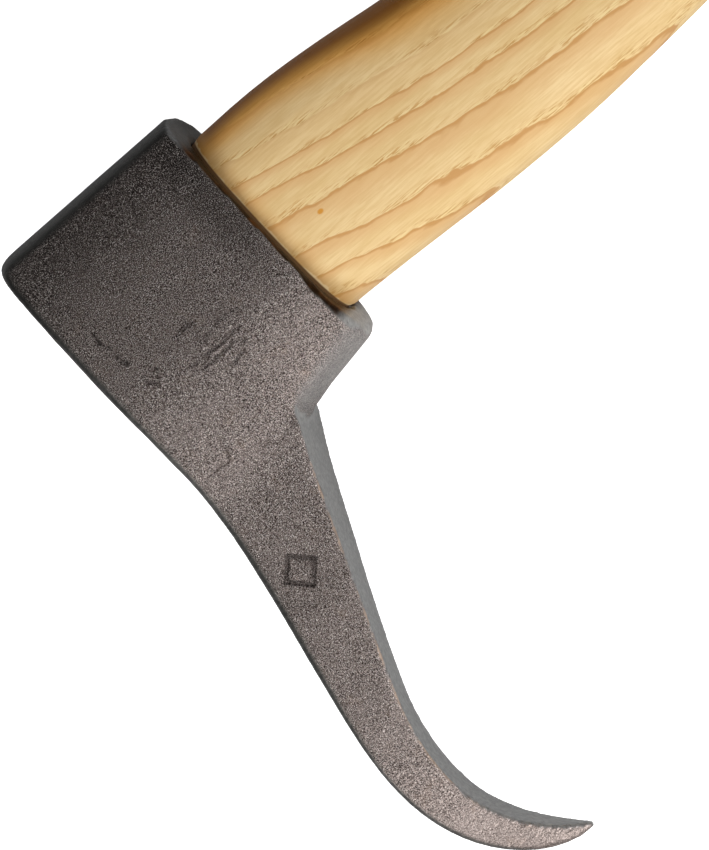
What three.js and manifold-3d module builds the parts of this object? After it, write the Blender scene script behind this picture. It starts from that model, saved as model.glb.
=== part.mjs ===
// A forestry hookaroon (timber pick): a forged steel head with a curved pick,
// on an oval ash handle that is spread in the eye by a wooden and a steel wedge.
//
// Millimetres. The tool lies on its side: +X runs along the handle from the head to the grip,
// +Y points to the poll, -Y to the pick's tip, and +Z is the thickness of the head.
// The origin is on the lower cheek, under the middle of the eye.

import * as THREE from 'three';
import { mergeVertices } from 'three/addons/utils/BufferGeometryUtils.js';
import Module from 'manifold-3d';

const wasm = await Module();
wasm.setup();

// ---- Driving dimensions ----

const gap = 0.3;                  // clearance kept between pieces that touch
const headThickness = 36;         // cheek to cheek
const midZ = headThickness / 2;

// Side outline of the head
const pollY = 31.8;               // poll face at X = 0
const pollLean = 0.01;            // how much the poll moves along +Y for each mm along +X
const topX = -25.1;               // top of the head, at the poll
const topLean = 0.048;            // how much the top moves along +X for each mm along -Y
const topStraightEndY = -28;      // where the back of the pick starts to curve
const rimX = 25.8;                // rim of the eye, where the handle enters, at Y = 0
const rimLean = 0.062;            // how much the rim moves along +X for each mm along -Y
const noseY = -32.4;              // front corner of the rim
const pollTopRadius = 2.5;
const pollRimRadius = 0.8;
const noseRadius = 2.5;
const pickRoot = new THREE.Vector2(5.7, -38.1);
const pickTip = new THREE.Vector2(-4, -147.2);
const tipWidth = 0.9;

// Thickness of the head, as half thicknesses
const pollFlatHalf = 6;           // half of the flat poll face
const pollRoundDepth = 8;         // length over which the cheeks round into it
const noseDepth = 12;             // length of the rounded nose, from full thickness to its edge
const noseEdgeHalf = 0.6;
const bendY = -12;                // where the cheeks start to slope in towards the pick
const bendLength = 3;             // how gently that slope starts
const cheekSlope = 0.15;
const slopeEndHalf = 7;           // where that slope ends and the pick's own taper takes over
const edgeRadius = 1.8;           // rounding along the top edge of the head

// Eye, as half sizes: along Y, and across the thickness
const eyeStations = [
  { x: topX, along: 25, across: 14.4 },
  { x: topX / 2, along: 24.1, across: 13.6 },
  { x: 0, along: 23.6, across: 13.3 },
  { x: rimX / 2, along: 24, across: 13.6 },
  { x: rimX, along: 24.8, across: 14.3 },
];
const eyeSquareness = 2.5;        // exponent of the superellipse
const ovalSides = 36;

// Handle
const handleEndX = 675;
const woodProud = 0.5;            // end grain above the top of the head
const shoulderGap = 0.9;          // rim of the eye to the shoulder of the handle
const shoulderRound = 0.5;
const buttRound = 5;
const leanFadeX = 70;             // the handle's sections stand square from here on

// Wedges, driven from the top of the head: full sizes at the top and at the tip
const woodWedge = { length: 34, width: 48, tipWidth: 44, thickness: 6, tipThickness: 1.4 };
const steelWedge = { length: 22, width: 19, tipWidth: 18, thickness: 3.4, tipThickness: 0.9 };
const kerfSpare = 4;              // saw cut left below the wooden wedge
const barbCount = 4;
const barbDepth = 0.35;
const barbSpan = [0.2, 0.9];      // share of the steel wedge's length that carries barbs
const barbStep = 0.01;            // length of a barb's square face, as a share

// ---- Helpers ----

const { clamp, lerp } = THREE.MathUtils;
const vec2 = (x, y) => new THREE.Vector2(x, y);

/** Quarter ellipse that climbs from 0 to 1 as the distance goes from 0 to depth. */
function quarterRound(distance, depth) {
  const left = 1 - clamp(distance / depth, 0, 1);
  return Math.sqrt(1 - left * left);
}

/** Function that gives smooth in-between values of hand-set rows [x, value, value, ...]. */
function smoothRows(rows) {
  const curves = rows[0].slice(1).map((_, column) =>
    new THREE.SplineCurve(rows.map((row) => vec2(row[0], row[column + 1]))));
  return (x) => {
    const passed = rows.filter((row) => row[0] < x).length;
    const index = clamp(passed - 1, 0, rows.length - 2);
    const share = clamp((x - rows[index][0]) / (rows[index + 1][0] - rows[index][0]), 0, 1);
    return curves.map((curve) => curve.getPoint((index + share) / (rows.length - 1)).y);
  };
}

/** Closed body through rings of equal length, with a fan of triangles on each end. */
function loft(rings) {
  const count = rings[0].length;
  const points = rings.flat();
  const index = [];
  for (let ring = 0; ring + 1 < rings.length; ring++) {
    for (let side = 0; side < count; side++) {
      const a = ring * count + side;
      const b = ring * count + ((side + 1) % count);
      index.push(a, b, b + count);
      index.push(a, b + count, a + count);
    }
  }
  for (const first of [0, points.length - count]) {
    const centre = points.length;
    const middle = new THREE.Vector3();
    rings[first / count].forEach((point) => middle.addScaledVector(point, 1 / count));
    points.push(middle);
    for (let side = 0; side < count; side++) {
      const pair = [first + side, first + ((side + 1) % count)];
      index.push(centre, ...(first === 0 ? pair.reverse() : pair));
    }
  }
  const geometry = new THREE.BufferGeometry().setFromPoints(points);
  geometry.setIndex(index);
  return geometry;
}

/** Closed three.js geometry to a manifold solid. */
function solidOf(geometry) {
  geometry.deleteAttribute('normal');
  geometry.deleteAttribute('uv');
  const merged = mergeVertices(geometry);
  return new wasm.Manifold(new wasm.Mesh({
    numProp: 3,
    vertProperties: new Float32Array(merged.attributes.position.array),
    triVerts: new Uint32Array(merged.index.array),
  }));
}

/** Manifold solid back to a three.js geometry. */
function geometryOf(solid) {
  const { vertProperties, triVerts } = solid.getMesh();
  const geometry = new THREE.BufferGeometry();
  geometry.setAttribute('position', new THREE.BufferAttribute(vertProperties, 3));
  geometry.setIndex(new THREE.BufferAttribute(triVerts, 1));
  return geometry;
}

// ---- Head: side outline ----

const pollAt = (x) => pollY + pollLean * x;
const topAt = (y) => topX + topLean * (pollY - y);
const rimAt = (y) => rimX - rimLean * y;

const topPollCorner = vec2(topAt(pollY), pollAt(topX));
const rimPollCorner = vec2(rimAt(pollY), pollAt(rimAt(pollY)));
const backStart = vec2(topAt(topStraightEndY), topStraightEndY);
const noseCorner = vec2(rimAt(noseY), noseY);

/** Rounded corner between two straight stretches of the outline. */
function cornerCurve(before, corner, after, radius) {
  const start = before.clone().sub(corner).setLength(radius).add(corner);
  const end = after.clone().sub(corner).setLength(radius).add(corner);
  return new THREE.QuadraticBezierCurve(start, corner, end);
}

// Top edge of the head and back of the pick, from the poll to the tip
const topCorner = cornerCurve(rimPollCorner, topPollCorner, backStart, pollTopRadius);
const topLine = new THREE.LineCurve(topCorner.v2, backStart);
const backKnee = vec2(-32.5, -110);
const back = new THREE.CurvePath();
back.add(new THREE.CubicBezierCurve(backStart, vec2(-20.4, -59), vec2(-32.5, -85), backKnee));
back.add(new THREE.CubicBezierCurve(backKnee, vec2(-32.5, -139.5), vec2(-9.5, -149), pickTip));

// Rim, front slope and hollow of the hook, from the poll to the tip
const rimCorner = cornerCurve(topPollCorner, rimPollCorner, noseCorner, pollRimRadius);
const noseRound = cornerCurve(rimPollCorner, noseCorner, pickRoot, noseRadius);
const rimLine = new THREE.LineCurve(rimCorner.v2, noseRound.v0);
const slopeLine = new THREE.LineCurve(noseRound.v2, pickRoot);
const hook = new THREE.SplineCurve([
  pickRoot,
  vec2(-0.2, -50),
  vec2(-5.2, -62),
  vec2(-10.7, -76),
  vec2(-15.8, -90),
  vec2(-20, -103),
  vec2(-21.3, -115),
  vec2(-19.9, -126),
  vec2(-15.5, -135),
  vec2(-9.9, -141.5),
  vec2(pickTip.x, pickTip.y + tipWidth),
]);

// ---- Head: thickness ----

// Share of the pick's length at which its taper starts, inside the block
const blockShare = -0.3;

/** Half thickness of the pick, from inside the block (below 0), past its root (0), to its tip (1). */
const pickTaper = smoothRows([
  [blockShare, midZ],
  [-0.15, 16.8],
  [0, 15],
  [0.08, 12.6],
  [0.16, 11.2],
  [0.33, 8.4],
  [0.52, 6.9],
  [0.7, 6.7],
  [0.87, 6],
  [0.95, 4],
  [1, 0.8],
]);

const slopeAlong = pickRoot.clone().sub(noseCorner).normalize();
const noseSink = 0.5;             // how fast the nose drops away behind the line of the hollow

// Line on the cheeks that carries the hollow's edge up into the block, from the poll to the root
const foldX = 12;
const foldBend = vec2(foldX, -24);
const foldTop = new THREE.LineCurve(vec2(foldX, pollAt(foldX)), foldBend);
const foldRoot = new THREE.LineCurve(foldBend, pickRoot);

/** Half thickness where the poll's face rounds over into the cheeks. */
function pollHalf(point) {
  const left = 1 - clamp((pollAt(point.x) - point.y) / pollRoundDepth, 0, 1);
  return lerp(midZ, pollFlatHalf, left ** 4);
}

/** Half thickness where the cheeks slope in from the block to the pick. */
function cheekHalf(point) {
  const past = Math.max(bendY - point.y, 0);
  return Math.max(midZ - (cheekSlope * past * past) / (past + bendLength), slopeEndHalf);
}

/** Half thickness of the rounded nose, in front of the eye. */
function noseHalf(point) {
  const away = point.clone().sub(noseCorner);
  const fromSlope = slopeAlong.y * away.x - slopeAlong.x * away.y;
  return Math.max(midZ * quarterRound(fromSlope, noseDepth), noseEdgeHalf);
}

/** Half thickness behind the fold: the pick's, or the nose's own where that is greater. */
function bodyHalf(point, fold, taper, topPoint) {
  const nose = noseHalf(point) - noseSink * point.distanceTo(fold);
  const widest = Math.min(cheekHalf(point), pollHalf(point));
  const body = Math.min(Math.max(nose, pickTaper(taper)[0]), widest);
  const radius = Math.min(edgeRadius, body / 2);
  return body - radius * (1 - quarterRound(point.distanceTo(topPoint), radius));
}

const bodySteps = 10;
const noseSteps = 6;

/** Closed section of the head, through a point of its top edge, the fold and its front edge. */
function headSection(topPoint, fold, frontPoint, taper) {
  const upper = [];
  for (let step = 0; step <= bodySteps; step++) {
    const share = 1 - Math.cos(((Math.PI / 2) * step) / bodySteps);
    const point = topPoint.clone().lerp(fold, share);
    upper.push([point, bodyHalf(point, fold, taper, topPoint)]);
  }
  const foldHalf = upper[bodySteps][1];
  for (let step = 0; step <= noseSteps; step++) {
    const share = Math.sin(((Math.PI / 2) * step) / noseSteps);
    const point = fold.clone().lerp(frontPoint, share);
    const nose = Math.min(noseHalf(point), pollHalf(point), foldHalf);
    const face = foldHalf * (1 - (step + 1) / (noseSteps + 2));
    upper.push([point, taper < 0 ? nose : face]);
  }
  const lift = ([point, half]) => new THREE.Vector3(point.x, point.y, midZ + half);
  const drop = ([point, half]) => new THREE.Vector3(point.x, point.y, midZ - half);
  return [...upper.map(drop), ...upper.reverse().map(lift)];
}

// Each stretch pairs a piece of the top edge with the pieces of the fold and of the front edge
// that face it, each as [curve, from, to], and says how far the pick's taper has come.
const noseTaper = -0.25;
const noseShare = 0.04;
const slopeShare = 0.15;
const pollFoldShare = 0.04;
const noseFoldShare = 0.3;
const even = (share) => share;
const denseEnds = (share) => (1 - Math.cos(Math.PI * share)) / 2;
const stretches = [
  {
    top: [topCorner, 0, 1], fold: [foldTop, 0, pollFoldShare], front: [rimCorner, 0, 1],
    taper: [blockShare, blockShare], steps: 4, spacing: even,
  },
  {
    top: [topLine, 0, 1], fold: [foldTop, pollFoldShare, 1], front: [rimLine, 0, 1],
    taper: [blockShare, blockShare], steps: 18, spacing: denseEnds,
  },
  {
    top: [back, 0, noseShare], fold: [foldRoot, 0, noseFoldShare], front: [noseRound, 0, 1],
    taper: [blockShare, noseTaper], steps: 5, spacing: even,
  },
  {
    top: [back, noseShare, slopeShare], fold: [foldRoot, noseFoldShare, 1],
    front: [slopeLine, 0, 1], taper: [noseTaper, 0], steps: 9, spacing: even,
  },
  {
    top: [back, slopeShare, 1], fold: [hook, 0, 1], front: [hook, 0, 1],
    taper: [0, 1], steps: 34, spacing: even,
  },
];

function headSolid() {
  const rings = [headSection(topCorner.v0, foldTop.v1, rimCorner.v0, blockShare)];
  for (const { top, fold, front, taper, steps, spacing } of stretches) {
    for (let step = 1; step <= steps; step++) {
      const share = spacing(step / steps);
      const [topPoint, foldPoint, frontPoint] = [top, fold, front].map(
        ([curve, from, to]) => curve.getPointAt(lerp(from, to, share)));
      rings.push(headSection(topPoint, foldPoint, frontPoint, lerp(...taper, share)));
    }
  }
  return solidOf(loft(rings));
}

// ---- Eye ----

/** Superellipse ring across the handle, between two values of Y; lean tilts it like the rim. */
function ovalRing({ x, front, poll, across, squareness = eyeSquareness, lean = 0 }) {
  const ring = [];
  for (let side = 0; side < ovalSides; side++) {
    const angle = (2 * Math.PI * side) / ovalSides;
    const along = Math.sign(Math.cos(angle)) * Math.abs(Math.cos(angle)) ** (2 / squareness);
    const up = Math.sign(Math.sin(angle)) * Math.abs(Math.sin(angle)) ** (2 / squareness);
    const y = (poll + front) / 2 + (along * (poll - front)) / 2;
    ring.push(new THREE.Vector3(x - lean * y, y, midZ + up * across));
  }
  return ring;
}

/** Ring of the eye, or of the tongue inside it when it is made smaller. */
function eyeRing({ x, along, across }, smaller = 0, lean = 0) {
  const half = along - smaller;
  return ovalRing({ x, front: -half, poll: half, across: across - smaller, lean });
}

function eyeSolid() {
  const beyond = 8;
  const first = eyeStations[0];
  const last = eyeStations[eyeStations.length - 1];
  const stations = [
    { ...first, x: first.x - beyond },
    ...eyeStations,
    { ...last, x: last.x + beyond },
  ];
  return solidOf(loft(stations.map((station) => eyeRing(station))));
}

// ---- Handle ----

// Profile of the handle: [x, front edge, poll edge, half thickness, squareness]
const handleProfile = [
  [26, -25, 25, 14.5, 2.5],
  [41, -25.3, 25.3, 14.7, 2.45],
  [55, -25.8, 24.5, 14.6, 2.4],
  [72, -26.4, 22.5, 14.3, 2.35],
  [94, -26.3, 19.9, 13.9, 2.3],
  [114, -25, 17.6, 13.5, 2.25],
  [135, -23.1, 15.4, 13.1, 2.2],
  [170, -20.6, 13.4, 12.6, 2.2],
  [230, -19.8, 12.4, 12.2, 2.2],
  [340, -20.2, 12, 12.1, 2.2],
  [460, -19.4, 12.8, 12.3, 2.2],
  [560, -18.2, 14.2, 12.6, 2.2],
  [615, -19, 14, 12.5, 2.2],
  [650, -24, 13.6, 12.9, 2.2],
  [675, -29, 14.5, 13.2, 2.2],
];
const handleSize = smoothRows(handleProfile);

/** Ring of the handle at x, drawn in by inset. */
function handleRing(x, inset = 0) {
  const [front, poll, across, squareness] = handleSize(x);
  const lean = rimLean * clamp((leanFadeX - x) / (leanFadeX - rimX), 0, 1);
  const size = { front: front + inset, poll: poll - inset, across: across - inset };
  return ovalRing({ x, ...size, squareness, lean });
}

/** Tongue, from its end grain at the top of the head to the shoulder. */
function tongueRings() {
  const endX = topAt(0) - woodProud;
  const [first, ...rest] = eyeStations;
  const last = rest.pop();
  return [
    eyeRing({ ...first, x: endX }, gap, topLean),
    ...rest.map((station) => eyeRing(station, gap)),
    eyeRing(last, gap, rimLean),
    eyeRing({ ...last, x: last.x + shoulderGap }, gap, rimLean),
  ];
}

/** Grip end, rounded over into a flat butt. */
function buttRings() {
  const steps = 4;
  const rings = [];
  for (let step = 1; step <= steps; step++) {
    const angle = (Math.PI / 2) * (step / steps);
    const x = handleEndX - buttRound * (1 - Math.sin(angle));
    rings.push(handleRing(x, buttRound * (1 - Math.cos(angle))));
  }
  return rings;
}

function handleRings() {
  const shoulderX = rimX + shoulderGap;
  const rings = [...tongueRings(), handleRing(shoulderX, shoulderRound)];
  const fineEndX = 150;
  const fineStep = 5;
  const shaftStep = 22;
  let x = shoulderX + shoulderRound;
  while (x < handleEndX - buttRound - shaftStep / 3) {
    rings.push(handleRing(x));
    x += x < fineEndX ? fineStep : shaftStep;
  }
  rings.push(handleRing(handleEndX - buttRound));
  return [...rings, ...buttRings()];
}

// ---- Wedges ----

/** Rectangular ring across the handle, by half sizes; lean tilts it like the top of the head. */
function boxRing(x, along, across, lean = 0) {
  const corners = [[1, 1], [-1, 1], [-1, -1], [1, -1]];
  return corners.map(([y, z]) => new THREE.Vector3(x - lean * along * y, along * y, midZ + across * z));
}

const wedgeTopX = topAt(0) - woodProud;

/** Half sizes [width, thickness] of a wedge at a share of its length. */
function wedgeHalves(wedge, share) {
  return [
    lerp(wedge.width, wedge.tipWidth, share) / 2,
    lerp(wedge.thickness, wedge.tipThickness, share) / 2,
  ];
}

/** Slot that a wedge fills, open past the top of the head. */
function slotRings(wedge, spare) {
  const above = 0.25;             // share of the wedge's length
  const sizes = [-above, 1].map((share) => {
    const [wide, thin] = wedgeHalves(wedge, share);
    return [wedgeTopX + share * wedge.length, wide + gap, thin + gap];
  });
  const [, tipWide, tipThin] = sizes[1];
  return [...sizes, [wedgeTopX + wedge.length + spare, tipWide, tipThin]];
}

/** Kerf sawn right through the tongue, along Y. */
function kerfSolid() {
  const through = 40;
  return solidOf(loft(slotRings(woodWedge, kerfSpare).map(([x, , thin]) => boxRing(x, through, thin))));
}

/** Slot of the steel wedge, which stands across the kerf. */
function steelSlotSolid() {
  return solidOf(loft(slotRings(steelWedge, gap).map(([x, wide, thin]) => boxRing(x, thin, wide))));
}

function woodWedgeSolid() {
  const rings = [0, 1].map((share) => {
    const [wide, thin] = wedgeHalves(woodWedge, share);
    return boxRing(wedgeTopX + share * woodWedge.length, wide, thin, share === 0 ? topLean : 0);
  });
  return solidOf(loft(rings)).subtract(steelSlotSolid());
}

/** Steel wedge with barbs across both faces, which let it go in but not out. */
function steelWedgeSolid() {
  const rings = [];
  const addRing = (share, inset) => {
    const [wide, thin] = wedgeHalves(steelWedge, share);
    rings.push(boxRing(wedgeTopX + share * steelWedge.length, thin - inset, wide));
  };
  addRing(0, 0);
  for (let barb = 0; barb < barbCount; barb++) {
    const share = lerp(...barbSpan, barb / barbCount);
    addRing(share, 0);
    addRing(share + barbStep, barbDepth * (1 - barb / barbCount / 2));
  }
  addRing(1, 0);
  return solidOf(loft(rings));
}

// ---- Assembly ----

const steelSlot = steelSlotSolid();
const handle = solidOf(loft(handleRings())).subtract(kerfSolid()).subtract(steelSlot);
const head = headSolid().subtract(eyeSolid());

const forgedSteel = new THREE.MeshStandardMaterial({ color: 0x7a716d, roughness: 0.6, metalness: 0.8 });
const ashWood = new THREE.MeshStandardMaterial({ color: 0xdcbd84, roughness: 0.5, metalness: 0 });
const beechWood = new THREE.MeshStandardMaterial({ color: 0xc79a5c, roughness: 0.7, metalness: 0 });
const plainSteel = new THREE.MeshStandardMaterial({ color: 0x9a9c9e, roughness: 0.4, metalness: 1 });

const hookaroon = new THREE.Group();
for (const [name, solid, material] of [
  ['pick_head', head, forgedSteel],
  ['handle', handle, ashWood],
  ['wooden_wedge', woodWedgeSolid(), beechWood],
  ['steel_wedge', steelWedgeSolid(), plainSteel],
]) {
  const mesh = new THREE.Mesh(geometryOf(solid), material);
  mesh.name = name;
  hookaroon.add(mesh);
}

export default hookaroon;
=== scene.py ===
"""The looks of a forged hookaroon, or timber pick, on its ash handle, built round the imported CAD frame.

Lengths are in metres, in the frame's own axes: +X runs from the top of the eye to the butt of the
handle, -Y is the way the pick points, and +Z is the cheek that the camera sees.
"""

import math

import bmesh
import bpy
import numpy as np
from mathutils import Matrix, Vector, noise


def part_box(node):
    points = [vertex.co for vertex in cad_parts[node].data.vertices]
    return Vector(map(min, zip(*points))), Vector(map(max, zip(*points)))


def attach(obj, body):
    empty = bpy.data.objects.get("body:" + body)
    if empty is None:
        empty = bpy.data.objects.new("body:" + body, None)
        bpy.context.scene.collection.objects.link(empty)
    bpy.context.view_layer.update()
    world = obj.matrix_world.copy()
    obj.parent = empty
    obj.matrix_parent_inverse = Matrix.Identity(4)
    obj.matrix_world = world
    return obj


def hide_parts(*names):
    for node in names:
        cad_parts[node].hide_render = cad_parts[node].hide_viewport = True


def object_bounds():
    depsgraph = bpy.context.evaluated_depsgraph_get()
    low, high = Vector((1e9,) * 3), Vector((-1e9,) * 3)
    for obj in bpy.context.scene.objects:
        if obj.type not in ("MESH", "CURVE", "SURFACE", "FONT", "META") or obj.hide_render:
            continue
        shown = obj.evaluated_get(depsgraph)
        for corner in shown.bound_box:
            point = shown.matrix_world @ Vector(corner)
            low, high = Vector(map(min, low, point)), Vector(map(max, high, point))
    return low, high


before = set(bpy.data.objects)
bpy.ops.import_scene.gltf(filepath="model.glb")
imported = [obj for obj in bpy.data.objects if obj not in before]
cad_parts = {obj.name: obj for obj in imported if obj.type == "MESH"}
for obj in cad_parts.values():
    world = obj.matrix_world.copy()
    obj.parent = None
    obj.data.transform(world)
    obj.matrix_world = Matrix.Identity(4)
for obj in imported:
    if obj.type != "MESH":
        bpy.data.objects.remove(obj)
cad_low, cad_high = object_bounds()

MM = 0.001
head_low, head_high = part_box("pick_head")
handle_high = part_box("handle")[1]
middle_z = (head_low.z + head_high.z) / 2
NOSE_CORNER = 2 * MM              # the nose's corner stands this far in front of the rim
rim_x = head_high.x - NOSE_CORNER    # behind it lies the eye, and beyond it the handle
poll_y = head_high.y


# ---------------------------------------------------------------- fine meshes

def coordinates(mesh):
    flat = np.empty(len(mesh.vertices) * 3, np.float32)
    mesh.vertices.foreach_get("co", flat)
    return flat.reshape(-1, 3).astype(float)


def normals(mesh):
    flat = np.empty(len(mesh.vertices) * 3, np.float32)
    mesh.vertices.foreach_get("normal", flat)
    return flat.reshape(-1, 3).astype(float)


def edges(mesh):
    flat = np.empty(len(mesh.edges) * 2, np.int32)
    mesh.edges.foreach_get("vertices", flat)
    return flat.reshape(-1, 2)


def move_vertices(mesh, points):
    mesh.vertices.foreach_set("co", points.astype(np.float32).ravel())
    mesh.update()


def spread(values, pairs, rounds):
    """Averages a field on the vertices with its neighbours, so many times over."""
    count = np.bincount(pairs.ravel(), minlength=len(values))[:, None]
    first, second = pairs.T
    field = values.reshape(len(values), -1).astype(float)
    for _ in range(rounds):
        total = np.empty_like(field)
        for k in range(field.shape[1]):
            total[:, k] = np.bincount(first, field[second, k], len(field))
            total[:, k] += np.bincount(second, field[first, k], len(field))
        field = (field + total / np.maximum(count, 1)) / 2
    return field.reshape(values.shape)


def smoothstep(low, high, value):
    t = np.clip((value - low) / (high - low), 0, 1)
    return t * t * (3 - 2 * t)


def band(value, rise, fall):
    """1 between a rise and a fall, each given by the value at its foot and the value at its top."""
    return smoothstep(*rise, value) * smoothstep(*fall, value)


def noise_field(points, size, seed, stretch=(1, 1, 1)):
    """Smooth noise from about -1 to 1, with lumps of the given size, stretched along the axes."""
    scaled = points / (size * np.array(stretch)) + seed
    return np.array([noise.noise(p) for p in scaled])


UNSHRINK = 1.06                   # how far each push back goes, against the smoothing before it


def fine_copy(node, name, voxel, relax):
    """A copy of a CAD node in small even faces, which can carry real dents and wear.

    Each round of smoothing is followed by one that pushes back, so that thin parts don't shrink.
    """
    piece = bpy.data.objects.new(name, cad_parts[node].data.copy())
    bpy.context.scene.collection.objects.link(piece)
    piece.data.materials.clear()
    remesh = piece.modifiers.new("even_faces", "REMESH")
    remesh.mode = "VOXEL"
    remesh.voxel_size = voxel
    remesh.use_smooth_shade = True
    bpy.context.view_layer.update()
    graph = bpy.context.evaluated_depsgraph_get()
    mesh = bpy.data.meshes.new_from_object(piece.evaluated_get(graph), depsgraph=graph)
    piece.modifiers.clear()
    piece.data = mesh
    mesh.name = name
    points = coordinates(mesh)
    pairs = edges(mesh)
    for _ in range(relax):
        points = spread(points, pairs, 1)
        points += UNSHRINK * (points - spread(points, pairs, 1))
    move_vertices(mesh, points)
    return piece


def refine(mesh, wanted, cuts):
    """Cuts the wanted part of a mesh into smaller faces. wanted takes points and gives a mask."""
    mask = wanted(coordinates(mesh))
    shape = bmesh.new()
    shape.from_mesh(mesh)
    shape.verts.ensure_lookup_table()
    chosen = [e for e in shape.edges if mask[e.verts[0].index] and mask[e.verts[1].index]]
    bmesh.ops.subdivide_edges(shape, edges=chosen, cuts=cuts, use_grid_fill=True)
    for face in shape.faces:
        face.smooth = True
    shape.to_mesh(mesh)
    shape.free()
    mesh.update()


def set_attribute(mesh, name, values):
    attribute = mesh.attributes.new(name, "FLOAT", "POINT")
    attribute.data.foreach_set("value", values.astype(np.float32))


def stand_in(piece, node):
    """The piece is shown in place of the CAD node."""
    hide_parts(node)
    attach(piece, "root")


# ---------------------------------------------------------------- the forged head

HEAD_VOXEL = 0.6 * MM
HEAD_RELAX = 5
MARK_CUTS = 2                     # cuts along each edge of the mesh, round the marks
# How far the outline grows before its edges are rounded, on the back and on the side of the hollow.
# (millimetres below the poll, growth in millimetres)
BACK_GROWTH = [(0, 0.15), (8, 0.3), (14, 0.6), (36, 0.5), (50, 0.1), (65, 0), (90, 0.5),
               (110, 0.4), (130, 0.1), (174, 0)]
HOLLOW_GROWTH = [(0, 0.3), (53, 0.3), (58, 0.9), (62, 0.8), (68, -0.9), (74, -0.6), (84, 0.1), (98, 0.4),
                 (125, 0.2), (174, 0.2)]
# Rounds of averaging with the neighbours, for the way that a surface faces and for its shape.
BROAD_ROUNDS = 2
FACING_ROUNDS = 4
WIDE_ROUNDS = 12
NOSE_FACING_ROUNDS = 40
SWELL_ROUNDS = 10
POLL_ROUNDS = 24
NOSE_ROUNDS = 40
BACK_ROUNDS = 14
# Just past the walls of the eye, which is a superellipse: along the head, and across it.
EYE_REACH = (25.6 * MM, 15.2 * MM)
EYE_POWER = 2.5
NOSE_FACING = np.array((0.25, -0.97, 0))
NOSE_GRINDING = 0.55              # the nose was ground lightly, and keeps some of the blasted grain
MARK_DEPTH = 0.35 * MM            # MARK_DEPTH = 0.35 * MM # marks from this deep on get their painted shade at full strength

# Where each surface fades in and out, in millimetres below the poll, or behind the rim.
POLL_EDGE = (12, 8)
POLL_SKIN = (14, 10)
NOSE = ((44, 50), (70, 66))
GROUND_FOOT = (71.5, 66)
GROUND_BEHIND = (30, 26)
BACK_END = (150, 110)
POINT_TURN = (135, 160)
# Where the painted reflection of the wood lies on the rim.
WOOD_REFLECTION_BELOW = ((6, 10), (59, 56))
WOOD_REFLECTION_BEHIND = ((-6, -3), (8, 5))
WOOD_REFLECTION_CLEARANCE = (3, 5)
BRIGHT_CORNER = ((72, 80), (165, 150))

# Marks on the near cheek, each a row of points (millimetres behind the rim, millimetres below the
# poll) that a hammer or a fold of scale left.
GOUGE = [(13.5, 44.8), (15.5, 45.6), (19, 45.4), (22, 45.8), (26, 45.4), (30, 45.3), (33, 44.6)]
LEAF = [(13, 44.2), (17, 43.8), (21, 43.9), (25, 44.2), (29, 44.4)]
LEAF_TOP = [(11.5, 43.4), (14, 42), (17, 41.4), (20, 41.6), (25, 42.9), (28, 43.6)]
SIDE_LINES = [[(15, 47.6), (19, 47.2), (25, 47.5), (31, 47)], [(18, 50.6), (20.3, 50), (24.5, 51.4)],
              [(16.5, 48.4), (18, 48.6), (18.8, 48)], [(22, 38.6), (25, 38), (29, 38.6)]]
SCALE_PITS = [(42.4, 28.7), (41.6, 30.8), (41.4, 33.4), (40.7, 36)]
POCK_ARCS = [[(41.4, 25.2), (42.4, 27), (42.6, 29), (41.2, 30.6)], [(41.8, 33), (41.4, 35), (39.6, 36.6)],
             [(40.4, 40.2), (40, 42), (38.4, 43.3), (36.6, 43)], [(37, 39.8), (36.2, 41), (37, 42)]]
CREASE = [(34.5, 61.5), (35.6, 63.6), (37.9, 66.3), (41, 66), (45, 66)]
# The root is where the hollow of the pick meets the nose: a painted shadow, and a burr beside it.
ROOT_SHADOW = (20.5, 69.5)
ROOT_SHADOW_SIZE = 3
ROOT_RIDGE = [(15.5, 69.2), (16.6, 69.5), (19, 70.2), (19.8, 71.4)]
STAMP_PLACE = (41.8, 94.5)
STAMP_REACH = 4.2                 # from the middle to a corner of the diamond, in millimetres
STAMP_LINE = 0.62
STAMP_DEPTH = 0.55 * MM
LEAST_MARK = 0.004 * MM

# Lumps in the steel: (size, seed, stretch along the axes), and their heights in millimetres.
FLOW = (5 * MM, 3.1, (2.4, 0.8, 1))
WAVES = (14 * MM, 7.7, (1.6, 1, 1))
FLAKES = (1.7 * MM, 11.3, (1.7, 1, 1))
FLOW_HEIGHT = 0.06
WAVE_HEIGHT = 0.1
FLAKE_HEIGHT = 0.03
GROUND_HEIGHT = 0.02
RIDGE_HEIGHT = 0.3

# How light the steel is painted along the head, as light and shade: dark on the block, lighter on the pick,
# and brightest at the neck and towards the point. (millimetres below the poll, factor)
LIGHT_AND_SHADE_ALONG_HEAD = [(0, 0.39), (10, 0.39), (24, 0.87), (40, 1.12), (54, 1.7), (66, 2.0), (76, 1.3), (99, 1.08),
              (125, 1.4), (150, 2.15), (165, 2.4), (175, 2.2)]
# How strong the blasted grain is, and how light the ground steel is painted: darker by the poll as shade,
# lighter by the nose as light. (millimetres below the poll, factor)
GRAIN_FADE = [(0, 1.5), (40, 1.4), (64, 1.15), (100, 0.9), (140, 0.8), (160, 0.45), (175, 0.25)]
RIM_LIGHT_AND_SHADE = [(0, 0.5), (12, 0.7), (45, 1.0), (58, 1.3), (66, 1.3), (72, 1.0)]


def near_cheek(rows):
    """Points (behind the rim, below the poll) in millimetres as frame points x, y."""
    return [np.array((rim_x - a * MM, poll_y - b * MM)) for a, b in rows]


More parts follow.
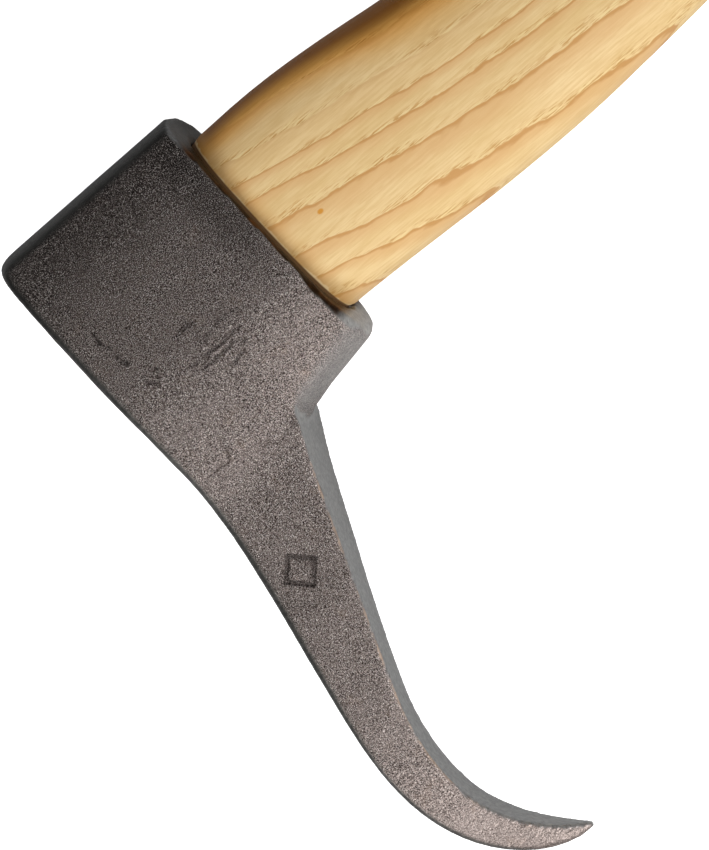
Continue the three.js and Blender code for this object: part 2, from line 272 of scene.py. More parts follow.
def distance_to_line(points, line):
    """Distance in the cheek's plane from each point to a bent line, and its place along it, 0 to 1."""
    best = np.full(len(points), np.inf)
    along = np.zeros(len(points))
    lengths = [np.linalg.norm(b - a) for a, b in zip(line, line[1:])]
    done = 0
    for (a, b), length in zip(zip(line, line[1:]), lengths):
        t = np.clip(((points[:, :2] - a) @ (b - a)) / length**2, 0, 1)
        d = np.linalg.norm(points[:, :2] - a - t[:, None] * (b - a), axis=1)
        closer = d < best
        best[closer] = d[closer]
        along[closer] = (done + t[closer] * length) / sum(lengths)
        done += length
    return best, along


def scored_line(points, rows, width, depth):
    """A groove along a line, deepest in its middle and dying out at its ends."""
    distance, along = distance_to_line(points, near_cheek(rows))
    fade = np.sin(np.pi * np.clip(along, 0.06, 0.94))
    return -depth * fade * np.exp(-((distance / width) ** 2))


def dimple(points, place, radius, depth):
    """A round pit with a low rim of pushed-up metal."""
    centre = near_cheek([place])[0]
    r = np.linalg.norm(points[:, :2] - centre, axis=1) / radius
    low_rim = 0.35 * np.exp(-(((r - 1.25) / 0.35) ** 2))
    return depth * (low_rim - np.exp(-(r**2)))


def cheek_marks(points):
    """Every mark on the near cheek, as a height out of the steel. The leaf of folded scale stands proud."""
    height = scored_line(points, GOUGE, 0.3 * MM, 0.5 * MM)
    height -= scored_line(points, LEAF, 0.8 * MM, 0.25 * MM)
    height += scored_line(points, LEAF_TOP, 0.4 * MM, 0.25 * MM)
    height += scored_line(points, CREASE, 0.35 * MM, 0.3 * MM)
    for line in SIDE_LINES + POCK_ARCS:
        height += scored_line(points, line, 0.36 * MM, 0.42 * MM)
    for pit in SCALE_PITS:
        height += dimple(points, pit, 0.6 * MM, 0.4 * MM)
    return height + smith_stamp(points)


def smith_stamp(points):
    """A plain diamond, struck into the pick with an outlined punch."""
    centre = near_cheek([STAMP_PLACE])[0]
    reach = np.abs(points[:, :2] - centre).sum(axis=1) / MM
    return -STAMP_DEPTH * np.exp(-(((reach - STAMP_REACH) / STAMP_LINE) ** 2))


def in_marked_patches(points):
    """The near cheek round the marks, where the faces have to be finest."""
    return (np.abs(cheek_marks(points)) > LEAST_MARK) & (points[:, 2] > middle_z + 3 * MM)


def soften(mesh, where, rounds):
    """Rounds the edges over, as far as where (0 to 1 on each vertex) says."""
    points = coordinates(mesh)
    rounded = spread(points, edges(mesh), rounds)
    move_vertices(mesh, points + where[:, None] * (rounded - points))


def clear_of_eye(points):
    """0 on the walls of the eye, which stay where they are so that the handle fits, and 1 elsewhere."""
    along = np.abs(points[:, 1]) / EYE_REACH[0]
    across = np.abs(points[:, 2] - middle_z) / EYE_REACH[1]
    return (along**EYE_POWER + across**EYE_POWER > 1).astype(float)


def swell(mesh):
    """The outline grows by what rounding its edges will take away, most where the pick is thin."""
    points = coordinates(mesh)
    outward = spread(normals(mesh), edges(mesh), FACING_ROUNDS)
    outward[:, 2] = 0
    below = (poll_y - points[:, 1]) / MM
    growth = np.interp(below, *zip(*BACK_GROWTH))
    hollow_growth = np.interp(below, *zip(*HOLLOW_GROWTH))
    inside = smoothstep(0, 0.3, outward[:, 0])
    growth = (growth + inside * (hollow_growth - growth)) * MM
    growth *= smoothstep(0.3, 0.7, np.linalg.norm(outward, axis=1))
    shift = spread(outward * growth[:, None], edges(mesh), SWELL_ROUNDS)
    move_vertices(mesh, points + shift * clear_of_eye(points)[:, None])


def round_the_block(mesh):
    """The forging's own edges are round: softest on the poll and the nose, tighter along the back."""
    pairs = edges(mesh)
    below = (poll_y - coordinates(mesh)[:, 1]) / MM
    wide = spread(normals(mesh), pairs, WIDE_ROUNDS)
    cheek_edge = smoothstep(0.05, 0.3, np.abs(wide[:, 2]))
    on_poll = smoothstep(0.02, 0.2, wide[:, 1]) * smoothstep(*POLL_EDGE, below)
    soften(mesh, on_poll * cheek_edge, POLL_ROUNDS)
    on_nose = smoothstep(0.02, 0.2, wide @ NOSE_FACING) * band(below, *NOSE)
    soften(mesh, on_nose * cheek_edge, NOSE_ROUNDS)
    on_back = smoothstep(0.02, 0.2, -wide[:, 0]) * smoothstep(*BACK_END, below)
    soften(mesh, on_back * cheek_edge, BACK_ROUNDS)


def steel_tone(behind, below):
    """How light the steel is, as painted light and shade: darker along the rim by the poll, darker in a
    painted shadow at the root, and lighter by the nose.
    """
    tone = np.interp(below, *zip(*LIGHT_AND_SHADE_ALONG_HEAD))
    tone *= 1 - 0.4 * smoothstep(12, 4, behind) * smoothstep(42, 30, below)
    tone *= 1 + 0.3 * smoothstep(28, 8, behind) * band(below, (44, 50), (68, 62))
    to_root = np.hypot(behind - ROOT_SHADOW[0], below - ROOT_SHADOW[1])
    tone *= 1 - 0.4 * np.exp(-((to_root / ROOT_SHADOW_SIZE) ** 2))
    return tone


def steel_masks(mesh):
    """How much each vertex belongs to each kind of surface, for the material to paint.

    Behind the rim, below the poll and height over the middle are all in millimetres.
    """
    points = coordinates(mesh)
    facing = normals(mesh)
    pairs = edges(mesh)
    broad = spread(facing, pairs, BROAD_ROUNDS)
    behind = (rim_x - points[:, 0]) / MM
    below = (poll_y - points[:, 1]) / MM
    height = (points[:, 2] - middle_z) / MM
    masks = {}
    by_nose = smoothstep(*GROUND_FOOT, below) * smoothstep(*GROUND_BEHIND, behind)
    to_nose = spread(facing, pairs, NOSE_FACING_ROUNDS) @ NOSE_FACING
    nose = by_nose * smoothstep(0.45, 1.0, to_nose)
    # Towards the tip the hollow turns to face the poll too.
    hollow = broad[:, 0] + 0.7 * smoothstep(*POINT_TURN, below) * np.maximum(broad[:, 1], 0)
    masks["ground"] = np.maximum(smoothstep(0.45, 0.75, hollow), NOSE_GRINDING * nose)
    back = smoothstep(0.15, 0.5, -broad[:, 0])
    poll = smoothstep(0.4, 0.8, broad[:, 1]) * smoothstep(*POLL_SKIN, below)
    masks["skin"] = np.maximum(back, poll)
    evenness = np.linalg.norm(spread(facing, pairs, WIDE_ROUNDS), axis=1)
    masks["edge"] = np.clip(3 - 3 * evenness, 0, 1)
    # The long sides of the rim beside the handle are painted dark amber, as the wood's reflection and its
    # shade.
    wood_reflection = smoothstep(0.4, 0.8, broad[:, 0]) * smoothstep(*WOOD_REFLECTION_CLEARANCE, np.abs(height))
    masks["wood_reflection"] = wood_reflection * band(below, *WOOD_REFLECTION_BELOW) * band(behind, *WOOD_REFLECTION_BEHIND)
    # Painted light and shade along the head, by the rim, at the root and by the nose.
    masks["tone"] = steel_tone(behind, below)
    near_side = smoothstep(0.2, 0.7, broad[:, 2])
    masks["marks"] = near_side * cheek_marks(points)
    masks["grain"] = np.interp(below, *zip(*GRAIN_FADE))
    masks["corner"] = 3 * band(below, *BRIGHT_CORNER)
    # Painted light and shade on the ground steel along the head.
    masks["rim_light_and_shade"] = np.interp(below, *zip(*RIM_LIGHT_AND_SHADE))
    # A burr stands where the ground hollow runs out against the nose; its crest is also painted light, as a
    # highlight.
    masks["ridge"] = -scored_line(points, ROOT_RIDGE, 0.45 * MM, 1) * (height > -10)
    return masks


def forge_head():
    """The head as a fine mesh, with its real dents and the attributes that its material reads."""
    piece = fine_copy("pick_head", "forged_head", HEAD_VOXEL, HEAD_RELAX)
    mesh = piece.data
    swell(mesh)
    round_the_block(mesh)
    refine(mesh, in_marked_patches, MARK_CUTS)
    masks = steel_masks(mesh)
    points = coordinates(mesh)
    facing = normals(mesh)

    forged = 1 - np.maximum(masks["ground"], masks["skin"])
    flow = noise_field(points, *FLOW)
    waves = noise_field(points, *WAVES)
    flakes = noise_field(points, *FLAKES)
    height = forged * (FLOW_HEIGHT * flow + WAVE_HEIGHT * waves + FLAKE_HEIGHT * flakes) * MM
    height += masks["ground"] * GROUND_HEIGHT * flow * MM
    height += masks["marks"] + RIDGE_HEIGHT * MM * masks["ridge"]
    height *= clear_of_eye(points)
    move_vertices(mesh, points + facing * height[:, None])

    # From here on the marks hold painted shade in the dents, darker as deep as they go.
    masks["marks"] = np.clip(-masks["marks"] / MARK_DEPTH, 0, 1)
    for name, values in masks.items():
        set_attribute(mesh, name, values)
    mesh.materials.append(forged_steel())
    stand_in(piece, "pick_head")


# ---------------------------------------------------------------- the handle

HANDLE_VOXEL = 1.0 * MM
HANDLE_RELAX = 6
RASP = (9 * MM, 5.5, (4, 1, 1))   # size, seed and stretch of the unevenness of hand work
RASP_HEIGHT = 0.04 * MM
SHOULDER_LEAN = 0.0625            # the shoulder lies about as much aslant as the rim of the head
TONGUE_START = 6 * MM             # behind the rim, deep enough in the eye to be out of sight


def cut_across(mesh, x, keep_shaft):
    """The closed part of a handle on one side of a plane across it, as a bmesh."""
    shape = bmesh.new()
    shape.from_mesh(mesh)
    everything = shape.verts[:] + shape.edges[:] + shape.faces[:]
    cut = bmesh.ops.bisect_plane(shape, geom=everything, plane_co=(x, 0, 0), plane_no=(1, 0, 0),
                                 clear_inner=keep_shaft, clear_outer=not keep_shaft)
    open_edges = [item for item in cut["geom_cut"] if isinstance(item, bmesh.types.BMEdge)]
    bmesh.ops.holes_fill(shape, edges=open_edges)
    return shape


def restore_tongue(mesh):
    """In the eye, the CAD solid takes over from the fine mesh, which would close its narrow slots."""
    start = rim_x - TONGUE_START
    tongue = cut_across(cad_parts["handle"].data, start, keep_shaft=False)
    spare = bpy.data.meshes.new("tongue")
    tongue.to_mesh(spare)
    tongue.free()
    shaft = cut_across(mesh, start, keep_shaft=True)
    shaft.from_mesh(spare)
    shaft.to_mesh(mesh)
    shaft.free()
    bpy.data.meshes.remove(spare)


def carve_handle():
    """The handle as a fine mesh, uneven from hand work, with its CAD tongue."""
    piece = fine_copy("handle", "ash_handle", HANDLE_VOXEL, HANDLE_RELAX)
    mesh = piece.data
    restore_tongue(mesh)
    points = coordinates(mesh)
    facing = normals(mesh)
    # The poll side is painted darker and warmer, as shade, in a band that widens away from the head.
    beyond = points[:, 0] - rim_x
    widening = 0.2 * smoothstep(15 * MM, 55 * MM, beyond)
    to_poll = spread(facing, edges(mesh), FACING_ROUNDS)[:, 1] + widening
    set_attribute(mesh, "warm_shade", smoothstep(0.35, 0.7, to_poll))
    set_attribute(mesh, "deep_shade", smoothstep(0.55, 0.92, to_poll))
    rasp = noise_field(points, *RASP)
    rasp *= points[:, 0] > rim_x - TONGUE_START + HANDLE_VOXEL
    move_vertices(mesh, points + facing * (RASP_HEIGHT * rasp)[:, None])
    mesh.materials.append(ash_wood())
    stand_in(piece, "handle")


# ---------------------------------------------------------------- materials

SPOT_STRETCH = (1.4, 1, 3)        # a spot is longer along the grain, and reaches deep into the wood


class Paint:
    """One material, built from nodes in short calls."""

    def __init__(self, name):
        self.material = bpy.data.materials.new(name)
        self.material.use_nodes = True
        self.tree = self.material.node_tree
        self.shader = self.tree.nodes["Principled BSDF"]
        self.place = self.node("ShaderNodeTexCoord").outputs["Object"]

    def node(self, kind, **settings):
        made = self.tree.nodes.new(kind)
        for name, value in settings.items():
            setattr(made, name, value)
        return made

    def feed(self, socket, value):
        """Links a socket to another, or sets it."""
        if isinstance(value, bpy.types.NodeSocket):
            self.tree.links.new(value, socket)
        else:
            socket.default_value = value

    def axes(self):
        """Object coordinates one by one."""
        split = self.node("ShaderNodeSeparateXYZ")
        self.feed(split.inputs[0], self.place)
        return split.outputs

    def math(self, operation, *values):
        made = self.node("ShaderNodeMath", operation=operation)
        for socket, value in zip(made.inputs, values):
            self.feed(socket, value)
        return made.outputs[0]

    def stretched(self, sizes, shift=(0, 0, 0)):
        """Object coordinates divided by a size along each axis."""
        made = self.node("ShaderNodeMapping")
        self.feed(made.inputs["Vector"], self.place)
        made.inputs["Scale"].default_value = [1 / s for s in sizes]
        made.inputs["Location"].default_value = shift
        return made.outputs[0]

    def noise(self, sizes, detail=2, rough=0.5, shift=(0, 0, 0), twist=0):
        made = self.node("ShaderNodeTexNoise")
        self.feed(made.inputs["Vector"], self.stretched(sizes, shift))
        made.inputs["Scale"].default_value = 1
        made.inputs["Detail"].default_value = detail
        made.inputs["Roughness"].default_value = rough
        made.inputs["Distortion"].default_value = twist
        return made.outputs["Fac"]

    def attribute(self, name):
        return self.node("ShaderNodeAttribute", attribute_name=name).outputs["Fac"]

    def span(self, value, low, high, to_low=0.0, to_high=1.0):
        """The value's place between low and high, held to that span."""
        made = self.node("ShaderNodeMapRange", interpolation_type="SMOOTHSTEP")
        for socket, number in zip(made.inputs, (value, low, high, to_low, to_high)):
            self.feed(socket, number)
        return made.outputs[0]

    def spot(self, beyond, across, size, soft):
        """A spot on the handle, so many millimetres beyond the rim and across it."""
        made = self.node("ShaderNodeVectorMath", operation="DISTANCE")
        self.feed(made.inputs[0], self.stretched(SPOT_STRETCH))
        centre = (rim_x + beyond * MM, across * MM, handle_high.z)
        made.inputs[1].default_value = [c / s for c, s in zip(centre, SPOT_STRETCH)]
        return self.span(made.outputs["Value"], size * MM, size * soft * MM)

    def mix(self, share, first, second, blend="MIX"):
        made = self.node("ShaderNodeMix", data_type="RGBA", blend_type=blend)
        self.feed(made.inputs["Factor"], share)
        self.feed(made.inputs["A"], first)
        self.feed(made.inputs["B"], second)
        return made.outputs["Result"]

    def bump(self, height, distance, strength=1.0):
        made = self.node("ShaderNodeBump")
        made.inputs["Distance"].default_value = distance
        self.feed(made.inputs["Strength"], strength)
        self.feed(made.inputs["Height"], height)
        self.feed(self.shader.inputs["Normal"], made.outputs[0])


def shade(red, green, blue):
    """A colour picked as 0 to 255 on screen, as linear light."""
    def linear(c):
        c = c / 255
        return c / 12.92 if c <= 0.04045 else ((c + 0.055) / 1.055) ** 2.4
    return linear(red), linear(green), linear(blue), 1.0


GRIT_SIZE = 0.3 * MM
SPARKLE_SIZE = 0.2 * MM
STEEL_RELIEF = 0.3 * MM


def blasted_grit(paint):
    """The even grain of the blasting, about 0.5, and stronger where the grain attribute says."""
    even = paint.noise([GRIT_SIZE] * 3, 2, 0.6, twist=0.5)
    return paint.math("MULTIPLY_ADD", paint.math("SUBTRACT", even, 0.5), paint.attribute("grain"), 0.5)


def blasted_scale(paint, grit, rusty):
    """Fire scale, blasted to a fine speckle of pits and bright peaks."""
    tone = paint.attribute("tone")
    grain = paint.attribute("grain")
    sparkle = paint.noise([SPARKLE_SIZE] * 3, 1, 0.5, (5, 2, 9))
    cloud = paint.noise([16 * MM, 9 * MM, 9 * MM], 3, 0.6)
    base = paint.mix(paint.span(grit, 0.41, 0.59), shade(62, 55, 52), shade(137, 126, 121))
    base = paint.mix(paint.span(cloud, 0.4, 0.75, 0, 0.5), base, shade(122, 112, 108))
    base = paint.mix(paint.span(rusty, 0.55, 0.8, 0, 0.3), base, shade(120, 100, 84))
    # Painted light and shade along the head, carried by the tone attribute.
    base = paint.mix(1.0, base, tone, "MULTIPLY")
    # The peaks that the blasting polished stay bright, and follow the painted light and shade less strongly
    # than the rest.
    shine = paint.math("MINIMUM", paint.math("MULTIPLY_ADD", tone, 0.6, 0.42), 1.3)
    peaks = paint.mix(1.0, shade(220, 212, 207), shine, "MULTIPLY")
    colour = paint.mix(paint.math("MULTIPLY", paint.span(sparkle, 0.58, 0.7), grain), base, peaks)
    pits = paint.math("MULTIPLY", paint.span(sparkle, 0.44, 0.34), grain)
    colour = paint.mix(pits, colour, shade(22, 19, 18))
    # Painted shade in the dents of the marks.
    marks = paint.math("MULTIPLY", paint.attribute("marks"), 0.45)
    return paint.mix(marks, colour, shade(30, 27, 26))


def ground_steel(paint, coarse):
    """Bare steel with the fine nicks of the grinding."""
    nicks = paint.noise([0.4 * MM, 1.8 * MM, 0.4 * MM], 2, 0.6, (7, 3, 2))
    colour = paint.mix(paint.span(coarse, 0.35, 0.7), shade(150, 150, 150), shade(172, 172, 171))
    colour = paint.mix(paint.span(nicks, 0.6, 0.68, 0, 0.5), colour, shade(84, 83, 80))
    # The ground steel is painted darker by the poll and lighter by the nose, as light and shade.
    return paint.mix(1.0, colour, paint.attribute("rim_light_and_shade"), "MULTIPLY")


def smooth_skin(paint, coarse):
    """The dark scale on the back and the poll, which the blasting hardly touched, with the painted light
    and shade along the head.
    """
    colour = paint.mix(paint.span(coarse, 0.35, 0.7), shade(68, 67, 65), shade(88, 87, 84))
    return paint.mix(1.0, colour, paint.attribute("tone"), "MULTIPLY")


def ground_corner(paint, ground, rusty):
    """Where the grinding left a warm bright line, on the corner of the cheek along the pick."""
    border = paint.math("MULTIPLY", ground, paint.math("SUBTRACT", 1.0, ground))
    border = paint.math("MULTIPLY", border, paint.attribute("corner"))
    return paint.math("MULTIPLY", border, paint.span(rusty, 0.4, 0.6))


def forged_steel():
    """Blasted scale on the cheeks, dark skin on the back, and ground steel on the nose and hollow."""
    paint = Paint("blasted_steel")
    ground = paint.attribute("ground")
    skin = paint.attribute("skin")
    grit = blasted_grit(paint)
    coarse = paint.noise([1.8 * MM, 1.0 * MM, 1.0 * MM], 2, 0.55)
    rusty = paint.noise([5 * MM] * 3, 3, 0.6, (4, 4, 1))

    colour = paint.mix(skin, blasted_scale(paint, grit, rusty), smooth_skin(paint, coarse))
    colour = paint.mix(ground, colour, ground_steel(paint, coarse))
    colour = paint.mix(ground_corner(paint, ground, rusty), colour, shade(190, 166, 146))
    # A painted highlight along the burr at the root.
    burr = paint.math("MULTIPLY", paint.attribute("ridge"), 0.8)
    colour = paint.mix(burr, colour, shade(205, 205, 202))
    # Painted reflection of the wood, with its shade, on the rim beside the handle.
    reflected_wood = paint.mix(paint.span(rusty, 0.42, 0.7), shade(38, 25, 17), shade(96, 62, 30))
    colour = paint.mix(paint.attribute("wood_reflection"), colour, reflected_wood)

    paint.feed(paint.shader.inputs["Base Color"], colour)
    paint.shader.inputs["Metallic"].default_value = 1.0
    paint.feed(paint.shader.inputs["Roughness"], paint.span(grit, 0.3, 0.7, 0.56, 0.44))
    relief = paint.math("MULTIPLY_ADD", coarse, 1.5, grit)
    smooth = paint.math("MAXIMUM", paint.math("MAXIMUM", ground, skin), paint.attribute("edge"))
    paint.bump(relief, STEEL_RELIEF, paint.span(smooth, 0, 1, 1.0, 0.2))
    return paint.material


RING_CENTRE_Y = 45 * MM           # where the heart of the tree lies, at the rim
RING_DEPTH = 10 * MM              # and how far below the middle of the handle
HEART_RUN = 90 * MM               # how long the heart takes to come level with the handle
HEART_DRIFT = 0.25                # its slope across the handle at the rim
RING_GAP = 5.6 * MM
RING_BEAT = 22 * MM               # good and poor years come and go over this width of rings
RING_PHASE = 0.29
RING_START = -0.77                # shifts every ring, so that the first one falls as in the photograph
FAINT_RINGS = (38 * MM, 42.5 * MM)
WOOD_RELIEF = 0.05 * MM
# (millimetres beyond the rim, millimetres across, radius in millimetres)
KNOT = (12.6, -5.5, 0.7)
SPECKS = [(81.6, -12.0, 0.3), (30.7, -22.8, 0.3), (22.5, -14.5, 0.3)]


def growth_rings(paint):
    """Each place's distance from the heart, and how far it is through its year's ring, 0 to 1."""
    x, y, z = paint.axes()
    # The heart leaves the handle's line near the eye, in a parabola that ends level.
    run = paint.math("MINIMUM", paint.math("SUBTRACT", x, rim_x), HEART_RUN)
    bend = paint.math("MULTIPLY", paint.math("MULTIPLY", run, run), HEART_DRIFT / (2 * HEART_RUN))
    drift = paint.math("SUBTRACT", paint.math("MULTIPLY", run, HEART_DRIFT), bend)
    across = paint.math("SUBTRACT", RING_CENTRE_Y, paint.math("ADD", y, drift))
    up = paint.math("SUBTRACT", z, middle_z - RING_DEPTH)
    square = paint.math("ADD", paint.math("POWER", across, 2.0), paint.math("POWER", up, 2.0))
    radius = paint.math("SQRT", square)
    wander = paint.noise([60 * MM, 14 * MM, 14 * MM], 2, 0.5)
    fine_wander = paint.noise([13 * MM, 4 * MM, 4 * MM], 3, 0.55)
    # Good and poor years come and go, so the rings lie closer and further apart.
    beat = paint.math("MULTIPLY_ADD", radius, 2 * math.pi / RING_BEAT, RING_PHASE)
    years = paint.math("SINE", beat)
    rings = paint.math("MULTIPLY_ADD", years, 0.22, paint.math("DIVIDE", radius, RING_GAP))
    rings = paint.math("ADD", rings, paint.math("MULTIPLY", wander, 0.35))
    rings = paint.math("ADD", rings, paint.math("MULTIPLY_ADD", fine_wander, 0.5, RING_START))
    return radius, paint.math("FRACT", rings)


def ringed_wood(paint, cloud, fibre):
    """Pale wood with a band of late wood in each ring and pores in the early, and where those are."""
    radius, turn = growth_rings(paint)
    onset = paint.span(turn, 0.0, 0.02)
    late = paint.math("MULTIPLY", onset, paint.span(turn, 0.1, 0.6, 1, 0))
    line = paint.math("MULTIPLY", onset, paint.span(turn, 0.05, 0.13, 1, 0))
    early = paint.math("MULTIPLY", paint.span(turn, 0.74, 0.96), paint.span(cloud, 0.38, 0.55, 0.25, 1))
    # The first rings round the heart hardly show.
    grown = paint.span(radius, *FAINT_RINGS, 0.25, 1)
    late = paint.math("MULTIPLY", late, paint.math("MULTIPLY", grown, 0.7))
    line = paint.math("MULTIPLY", line, paint.math("MULTIPLY", grown, 0.85))
    pores = paint.noise([3.2 * MM, 0.3 * MM, 0.3 * MM], 1, 0.5, (3, 1, 7))
    pore = paint.math("MULTIPLY", paint.span(pores, 0.54, 0.62), early)
    glint = paint.math("MULTIPLY", paint.span(pores, 0.46, 0.38), early)

    colour = paint.mix(paint.span(fibre, 0.3, 0.7), shade(230, 195, 137), shade(243, 212, 157))
    colour = paint.mix(paint.span(cloud, 0.35, 0.7, 0, 0.35), colour, shade(222, 184, 118))
    colour = paint.mix(late, colour, shade(224, 177, 120))
    colour = paint.mix(line, colour, shade(203, 150, 88))
    colour = paint.mix(paint.math("MULTIPLY", pore, 0.8), colour, shade(198, 146, 78))
    colour = paint.mix(paint.math("MULTIPLY", glint, 0.6), colour, shade(248, 224, 164))
    return colour, pore


def poll_shade_and_specks(paint, colour):
    """The wood with its poll side painted darker and warmer, as shade, its knot and its specks."""
    # Painted shade on the poll side.
    colour = paint.mix(paint.attribute("warm_shade"), colour, shade(255, 220, 160), "MULTIPLY")
    colour = paint.mix(paint.attribute("deep_shade"), colour, shade(136, 84, 18))
    colour = paint.mix(paint.spot(*KNOT, 0.5), colour, shade(216, 150, 60))
    for speck in SPECKS:
        colour = paint.mix(paint.spot(*speck, 0.0), colour, shade(120, 74, 30))
    return colour


def stained_at_rim(paint, colour, cloud):
    """The wood with its oily end, a pale ragged lip there, and painted shade in the gap under the rim."""
    x, y, _ = paint.axes()
    beyond = paint.math("SUBTRACT", paint.math("MULTIPLY_ADD", y, SHOULDER_LEAN, x), rim_x)
    colour = paint.mix(paint.span(beyond, 6 * MM, 1.5 * MM, 0, 0.45), colour, shade(214, 158, 84))
    ragged = paint.math("MULTIPLY_ADD", cloud, 3 * MM, beyond)
    by_rim = paint.span(beyond, -20 * MM, -10 * MM)
    lip = paint.math("MULTIPLY", paint.span(ragged, 2.9 * MM, 2.5 * MM, 0, 0.6), by_rim)
    colour = paint.mix(lip, colour, shade(248, 222, 174))
    # Painted shade in the gap under the rim.
    gap_shade = paint.math("MULTIPLY", paint.span(beyond, 1.2 * MM, 0.8 * MM, 0, 0.9), by_rim)
    return paint.mix(gap_shade, colour, shade(88, 52, 24))


def ash_wood():
    """Flat-sawn ash: growth rings about a heart that lies below the handle, and drifts along it."""
    paint = Paint("oiled_ash")
    cloud = paint.noise([22 * MM, 6 * MM, 6 * MM], 3, 0.6, (2, 8, 5))
    fibre = paint.noise([7 * MM, 0.5 * MM, 0.5 * MM], 3, 0.6)
    colour, pore = ringed_wood(paint, cloud, fibre)
    colour = poll_shade_and_specks(paint, colour)
    colour = stained_at_rim(paint, colour, cloud)
    paint.feed(paint.shader.inputs["Base Color"], colour)
    paint.feed(paint.shader.inputs["Roughness"], paint.span(fibre, 0.2, 0.8, 0.48, 0.4))
    paint.shader.inputs["Specular IOR Level"].default_value = 0.2
    hollow = paint.math("SUBTRACT", fibre, paint.math("MULTIPLY", pore, 0.8))
    paint.bump(hollow, WOOD_RELIEF, 0.6)
    return paint.material


def wedge_steel():
    """Drawn wedge steel with a little rust."""
    paint = Paint("wedge_metal")
    drag = paint.noise([6 * MM, 0.5 * MM, 0.5 * MM], 3, 0.6)
    rust = paint.noise([3 * MM] * 3, 4, 0.6)
    colour = paint.mix(paint.span(drag, 0.3, 0.7), shade(120, 116, 112), shade(160, 156, 150))
    colour = paint.mix(paint.span(rust, 0.55, 0.75), colour, shade(120, 88, 68))
    paint.feed(paint.shader.inputs["Base Color"], colour)
    paint.shader.inputs["Metallic"].default_value = 0.9
    paint.feed(paint.shader.inputs["Roughness"], paint.span(drag, 0.2, 0.8, 0.5, 0.35))
    paint.bump(drag, 0.1 * MM, 0.6)
    return paint.material


def wedge_wood():
    """A harder, browner wood than the handle's."""
    paint = Paint("wedge_timber")
    fibre = paint.noise([8 * MM, 0.4 * MM, 0.4 * MM], 3, 0.6)
    colour = paint.mix(paint.span(fibre, 0.3, 0.7), shade(172, 122, 76), shade(206, 160, 108))
    paint.feed(paint.shader.inputs["Base Color"], colour)
    paint.shader.inputs["Roughness"].default_value = 0.6
    paint.bump(fibre, 0.1 * MM, 0.7)
    return paint.material


# ---------------------------------------------------------------- the studio

VIEW_DISTANCE = 0.75
VIEW_TILT = math.radians(10)
VIEW_ROLL = math.radians(39.6)
VIEW_HEIGHT = 0.187
VIEW_TARGET = Vector((rim_x - 13.9 * MM, poll_y - 77.5 * MM, middle_z))
LAMP_DISTANCE = 0.6
LAMP_SIZE = 0.25
KEY = (300, 40, 1.8)              # bearing, height and power
BACK_FILL = (210, 55, 1.15)
AIR_LIGHT = 0.39
FLOOR_GAP = 0.5 * MM
TABLE_GAP = 1 * MM


def view_axes():
    """The camera's right, up and back directions: over the near cheek, tipped towards the handle."""
    back = Vector((math.sin(VIEW_TILT), 0, math.cos(VIEW_TILT)))
    level = Vector((math.cos(VIEW_TILT), 0, -math.sin(VIEW_TILT)))
    side = Vector((0, 1, 0))
    right = math.cos(VIEW_ROLL) * level - math.sin(VIEW_ROLL) * side
    up = math.sin(VIEW_ROLL) * level + math.cos(VIEW_ROLL) * side
    return right, up, back


def place_camera():
    data = bpy.data.cameras.new("camera")
    camera = bpy.data.objects.new("camera", data)
    bpy.context.scene.collection.objects.link(camera)
    right, up, back = view_axes()
    turn = Matrix((right, up, back)).transposed().to_4x4()
    camera.matrix_world = Matrix.Translation(VIEW_TARGET + VIEW_DISTANCE * back) @ turn
    data.lens = data.sensor_width * VIEW_DISTANCE / VIEW_HEIGHT
    data.clip_start = 0.05
    bpy.context.scene.camera = camera


def softbox(name, bearing, height, power):
    """A square lamp aimed at the block.

    Bearing and height are angles in degrees, from +X and from the floor.
    """
    target = Vector((0, poll_y - 60 * MM, middle_z))
    turn = math.radians(bearing)
    lift = math.radians(height)
    way = Vector((math.cos(turn) * math.cos(lift), math.sin(turn) * math.cos(lift), math.sin(lift)))
    data = bpy.data.lights.new(name, "AREA")
    data.shape = "SQUARE"
    data.size = LAMP_SIZE
    data.energy = power
    lamp = bpy.data.objects.new(name, data)
    bpy.context.scene.collection.objects.link(lamp)
    lamp.location = target + LAMP_DISTANCE * way
    lamp.rotation_euler = (-way).to_track_quat("-Z", "Y").to_euler()
    lamp.visible_camera = False


def light_studio():
    scene = bpy.context.scene
    scene.view_settings.view_transform = "Standard"
    world = bpy.data.worlds.new("studio_air")
    world.use_nodes = True
    world.node_tree.nodes["Background"].inputs["Color"].default_value = (1, 1, 1, 1)
    world.node_tree.nodes["Background"].inputs["Strength"].default_value = AIR_LIGHT
    scene.world = world
    softbox("key", *KEY)
    softbox("back_fill", *BACK_FILL)


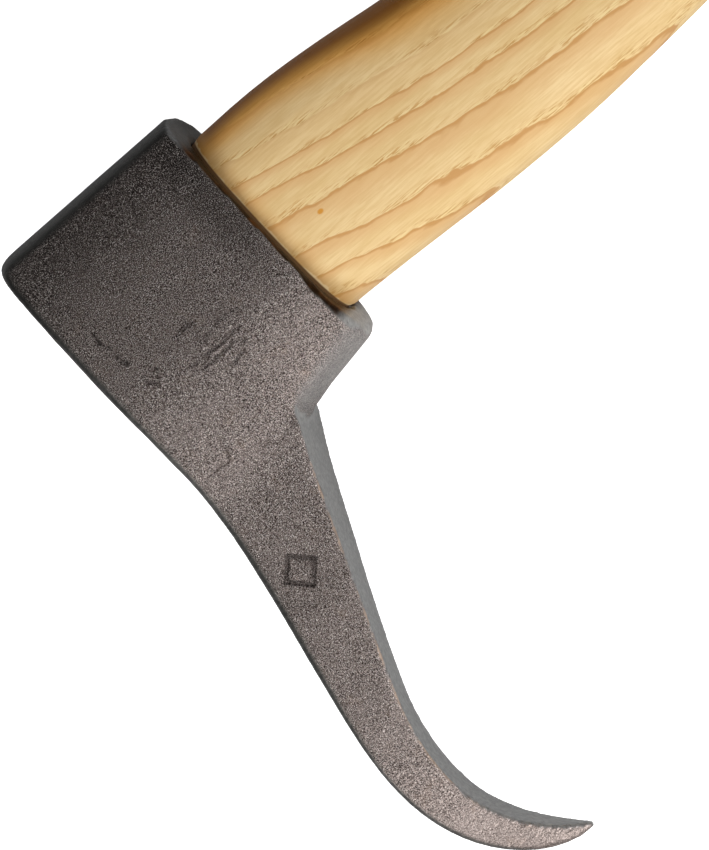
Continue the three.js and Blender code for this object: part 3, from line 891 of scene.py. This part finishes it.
def bowl(name, drop):
    """A wide flat floor that curves up into a wall all round."""
    reach = 6.0
    lift = 6.0
    rings = 12
    sides = 64
    profile = [(0.0, drop), (reach, drop)]
    for k in range(1, rings + 1):
        a = math.pi / 2 * k / rings
        profile.append((reach + lift * math.sin(a), drop + lift * (1 - math.cos(a))))
    mesh = bpy.data.meshes.new(name)
    shape = bmesh.new()
    line = [shape.verts.new((r, 0, z)) for r, z in profile]
    for a, b in zip(line, line[1:]):
        shape.edges.new((a, b))
    bmesh.ops.spin(shape, geom=shape.verts[:] + shape.edges[:], cent=(0, 0, 0), axis=(0, 0, 1),
                   angle=2 * math.pi, steps=sides)
    bmesh.ops.remove_doubles(shape, verts=shape.verts, dist=1e-5)
    shape.to_mesh(mesh)
    shape.free()
    floor = bpy.data.objects.new(name, mesh)
    bpy.context.scene.collection.objects.link(floor)
    return floor


def lay_floor():
    """The camera sees a sheet too bright for shadows, and the tool a matt pale table in its place."""
    drop = cad_low.z - FLOOR_GAP
    sheet = bowl("white_sheet", drop)
    glow = bpy.data.materials.new("white_sheet")
    glow.use_nodes = True
    shader = glow.node_tree.nodes["Principled BSDF"]
    shader.inputs["Base Color"].default_value = (0.9, 0.9, 0.9, 1)
    shader.inputs["Emission Color"].default_value = (1, 1, 1, 1)
    shader.inputs["Emission Strength"].default_value = 1.0
    sheet.data.materials.append(glow)
    sheet.visible_diffuse = False
    sheet.visible_glossy = False
    sheet.visible_shadow = False
    table = bowl("pale_table", drop - TABLE_GAP)
    matt = bpy.data.materials.new("pale_table")
    matt.use_nodes = True
    shader = matt.node_tree.nodes["Principled BSDF"]
    shader.inputs["Base Color"].default_value = (0.7, 0.7, 0.7, 1)
    shader.inputs["Roughness"].default_value = 0.9
    table.data.materials.append(matt)
    table.visible_camera = False


def dress_node(node, material):
    """The CAD node stays as it is, with a better material."""
    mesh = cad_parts[node].data
    mesh.materials.clear()
    mesh.materials.append(material)


place_camera()
light_studio()
lay_floor()
forge_head()
carve_handle()
dress_node("wooden_wedge", wedge_wood())
dress_node("steel_wedge", wedge_steel())
